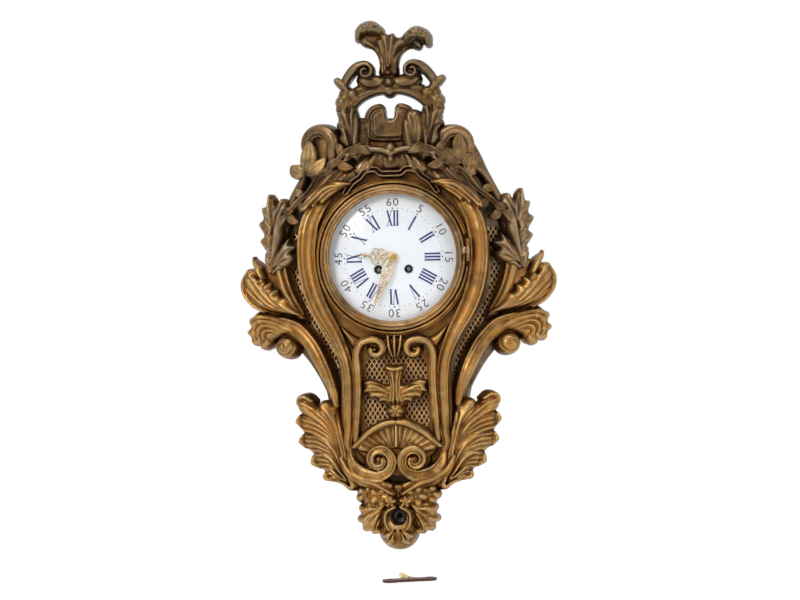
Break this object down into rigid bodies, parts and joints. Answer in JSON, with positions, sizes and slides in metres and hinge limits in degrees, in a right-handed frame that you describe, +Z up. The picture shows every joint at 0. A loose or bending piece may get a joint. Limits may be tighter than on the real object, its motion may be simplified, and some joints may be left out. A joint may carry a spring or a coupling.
{
  "type": "cartel clock",
  "caption": "Wall-hung gilt-bronze clock in rococo style with a domed enamel dial, pierced grilles, leafy scrolls, a striking movement and a winding key.",
  "frame": {"origin": "centre of the hanging hole, on the wall plane", "axes": "+Z up, +Y into the wall, front faces -Y, +X right"},
  "size_m": [0.3494, 0.0988, 0.6188],
  "materials": {
    "gilt_bronze": "fire-gilt cast bronze, burnished on the high parts, brown in the hollows",
    "movement_brass": "turned and lacquered brass",
    "steel": "polished and blued steel",
    "bell_metal": "turned bell bronze, silvery",
    "white_enamel": "glossy white enamel on copper",
    "dial_glass": "clear domed glass",
    "grille_cloth": "dark red-brown silk",
    "key_iron": "dark red-brown japanned iron"
  },
  "bodies": {
    "case": {"case_shell": "gilt_bronze", "front_plate": "gilt_bronze", "left_frame_band": "gilt_bronze", "right_frame_band": "gilt_bronze", "top_collar": "gilt_bronze", "crest": "gilt_bronze", "left_wing": "gilt_bronze", "right_wing": "gilt_bronze", "left_sprig": "gilt_bronze", "right_sprig": "gilt_bronze", "left_flank_leaf": "gilt_bronze", "right_flank_leaf": "gilt_bronze", "panel_scrolls": "gilt_bronze", "base_scrolls": "gilt_bronze", "grille_spray": "gilt_bronze", "pendant": "gilt_bronze", "lower_grille": "gilt_bronze", "left_grille": "gilt_bronze", "right_grille": "gilt_bronze", "grille_backings": "grille_cloth", "case_nuts": "movement_brass", "hanger_plate": "steel", "dial_surround": "gilt_bronze", "hinge_pin": "steel", "dial_ring": "movement_brass", "dial": "white_enamel", "front_movement_plate": "movement_brass", "back_movement_plate": "movement_brass", "movement_pillars": "movement_brass", "clicks": "steel", "suspension_cock": "movement_brass", "bell": "bell_metal", "bell_stand": "steel", "bell_nut": "steel"},
    "door": {"bezel": "gilt_bronze", "bezel_glass": "dial_glass"},
    "minute_hand": {"minute_hand": "gilt_bronze", "hand_nut": "gilt_bronze", "cannon_pinion": "movement_brass"},
    "minute_wheel": {"minute_wheel": "movement_brass"},
    "hour_hand": {"hour_hand": "gilt_bronze", "hour_wheel": "movement_brass"},
    "going_barrel": {"going_barrel": "movement_brass"},
    "strike_barrel": {"strike_barrel": "movement_brass"},
    "going_arbor": {"going_arbor": "steel"},
    "strike_arbor": {"strike_arbor": "steel"},
    "intermediate_wheel": {"intermediate_wheel": "movement_brass"},
    "centre_wheel": {"centre_wheel": "movement_brass"},
    "third_wheel": {"third_wheel": "movement_brass"},
    "escape_wheel": {"escape_wheel": "movement_brass"},
    "pallets": {"pallets_and_crutch": "steel"},
    "pendulum": {"pendulum_rod": "steel", "pendulum_bob": "movement_brass"},
    "strike_wheel": {"strike_wheel": "movement_brass", "count_wheel": "movement_brass"},
    "pin_wheel": {"pin_wheel": "movement_brass"},
    "fly": {"fly": "movement_brass"},
    "hammer": {"hammer": "steel"},
    "key": {"key_wings": "key_iron", "key_shaft": "movement_brass"}
  },
  "joints": [
    {"name": "bezel_swing", "type": "hinge", "parent": "case", "child": "door", "pos_m": [0.0832, -0.0948, -0.116], "axis": [0, 0, 1], "range_deg": [0, 100]},
    {"name": "minute_hand_turn", "type": "hinge", "parent": "case", "child": "minute_hand", "pos_m": [0, -0.084, -0.122], "axis": [0, 1, 0], "continuous": true},
    {"name": "minute_wheel_turn", "type": "hinge", "parent": "case", "child": "minute_wheel", "pos_m": [0, -0.067, -0.11], "axis": [0, 1, 0], "continuous": true},
    {"name": "hour_hand_turn", "type": "hinge", "parent": "case", "child": "hour_hand", "pos_m": [0, -0.082, -0.122], "axis": [0, 1, 0], "continuous": true},
    {"name": "third_wheel_turn", "type": "hinge", "parent": "case", "child": "third_wheel", "pos_m": [-0.00455, -0.047, -0.10666], "axis": [0, 1, 0], "continuous": true},
    {"name": "centre_wheel_turn", "type": "hinge", "parent": "case", "child": "centre_wheel", "pos_m": [0, -0.041, -0.122], "axis": [0, 1, 0], "continuous": true},
    {"name": "intermediate_wheel_turn", "type": "hinge", "parent": "case", "child": "intermediate_wheel", "pos_m": [0.01661, -0.038, -0.1165], "axis": [0, 1, 0], "continuous": true},
    {"name": "going_barrel_turn", "type": "hinge", "parent": "case", "child": "going_barrel", "pos_m": [0.0167, -0.06, -0.135], "axis": [0, 1, 0], "continuous": true},
    {"name": "escape_wheel_turn", "type": "hinge", "parent": "case", "child": "escape_wheel", "pos_m": [0, -0.054, -0.093], "axis": [0, 1, 0], "continuous": true},
    {"name": "pin_wheel_turn", "type": "hinge", "parent": "case", "child": "pin_wheel", "pos_m": [-0.02411, -0.051, -0.10351], "axis": [0, 1, 0], "continuous": true},
    {"name": "strike_wheel_turn", "type": "hinge", "parent": "case", "child": "strike_wheel", "pos_m": [-0.01661, -0.035, -0.1165], "axis": [0, 1, 0], "continuous": true},
    {"name": "strike_barrel_turn", "type": "hinge", "parent": "case", "child": "strike_barrel", "pos_m": [-0.0167, -0.06, -0.135], "axis": [0, 1, 0], "continuous": true},
    {"name": "fly_turn", "type": "hinge", "parent": "case", "child": "fly", "pos_m": [-0.03253, -0.052, -0.10657], "axis": [0, 1, 0], "continuous": true},
    {"name": "going_winding", "type": "hinge", "parent": "case", "child": "going_arbor", "pos_m": [0.0167, -0.067, -0.135], "axis": [0, 1, 0], "range_deg": [0, 1800]},
    {"name": "strike_winding", "type": "hinge", "parent": "case", "child": "strike_arbor", "pos_m": [-0.0167, -0.067, -0.135], "axis": [0, 1, 0], "range_deg": [0, 1800]},
    {"name": "pendulum_swing", "type": "hinge", "parent": "case", "child": "pendulum", "pos_m": [0, -0.024, -0.082], "axis": [0, 1, 0], "range_deg": [-4, 4]},
    {"name": "pallet_rock", "type": "hinge", "parent": "case", "child": "pallets", "pos_m": [0, -0.05, -0.082], "axis": [0, 1, 0], "range_deg": [-4, 4]},
    {"name": "hammer_lift", "type": "hinge", "parent": "case", "child": "hammer", "pos_m": [-0.034, -0.05, -0.124], "axis": [0, 1, 0], "range_deg": [0, 12]},
    {"name": "key_lift", "type": "slide", "parent": "case", "child": "key", "axis": [0, 0, 1], "range_m": [0, 0.03]}
  ],
  "couplings": [
    {"joint": "minute_wheel_turn", "follows": "minute_hand_turn", "ratio": -0.33333},
    {"joint": "hour_hand_turn", "follows": "minute_hand_turn", "ratio": 0.083333},
    {"joint": "centre_wheel_turn", "follows": "third_wheel_turn", "ratio": -0.14286},
    {"joint": "intermediate_wheel_turn", "follows": "third_wheel_turn", "ratio": 0.02381},
    {"joint": "going_barrel_turn", "follows": "third_wheel_turn", "ratio": -0.0037202},
    {"joint": "escape_wheel_turn", "follows": "third_wheel_turn", "ratio": -8},
    {"joint": "fly_turn", "follows": "pin_wheel_turn", "ratio": -6},
    {"joint": "strike_wheel_turn", "follows": "pin_wheel_turn", "ratio": -0.15385},
    {"joint": "strike_barrel_turn", "follows": "pin_wheel_turn", "ratio": 0.024038},
    {"joint": "pallet_rock", "follows": "pendulum_swing", "ratio": 1}
  ]
}
